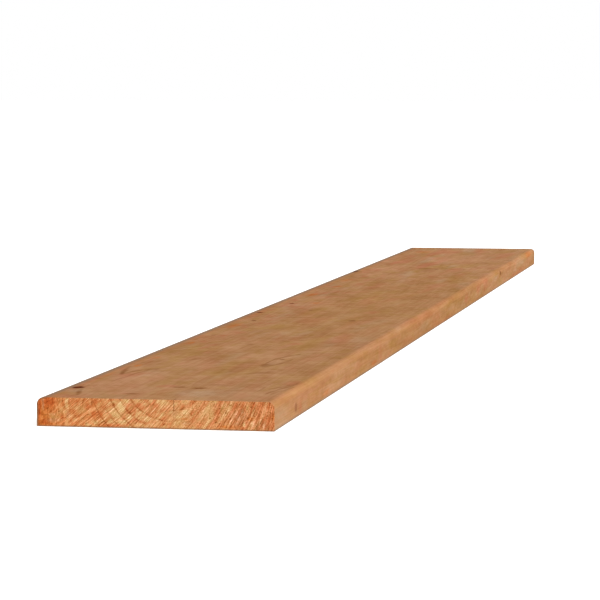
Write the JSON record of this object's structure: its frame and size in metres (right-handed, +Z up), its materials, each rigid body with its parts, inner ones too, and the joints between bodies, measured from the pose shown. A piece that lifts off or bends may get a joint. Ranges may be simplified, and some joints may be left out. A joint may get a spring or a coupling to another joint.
{
  "type": "wooden plank",
  "caption": "Planed softwood plank with two rounded long upper edges, two lightly broken lower edges and square-cut ends, one with a small drying check.",
  "frame": {"origin": "middle of the underside", "axes": "+X across the width, to the right as seen from the end with the drying check; +Y along the length, from that end to the other; +Z up, out of the face between the two rounded edges"},
  "size_m": [0.169, 1.8, 0.0205],
  "materials": {
    "planed_softwood": "planed, bare, matte"
  },
  "bodies": {
    "root": {"plank": "planed_softwood"}
  },
  "joints": []
}
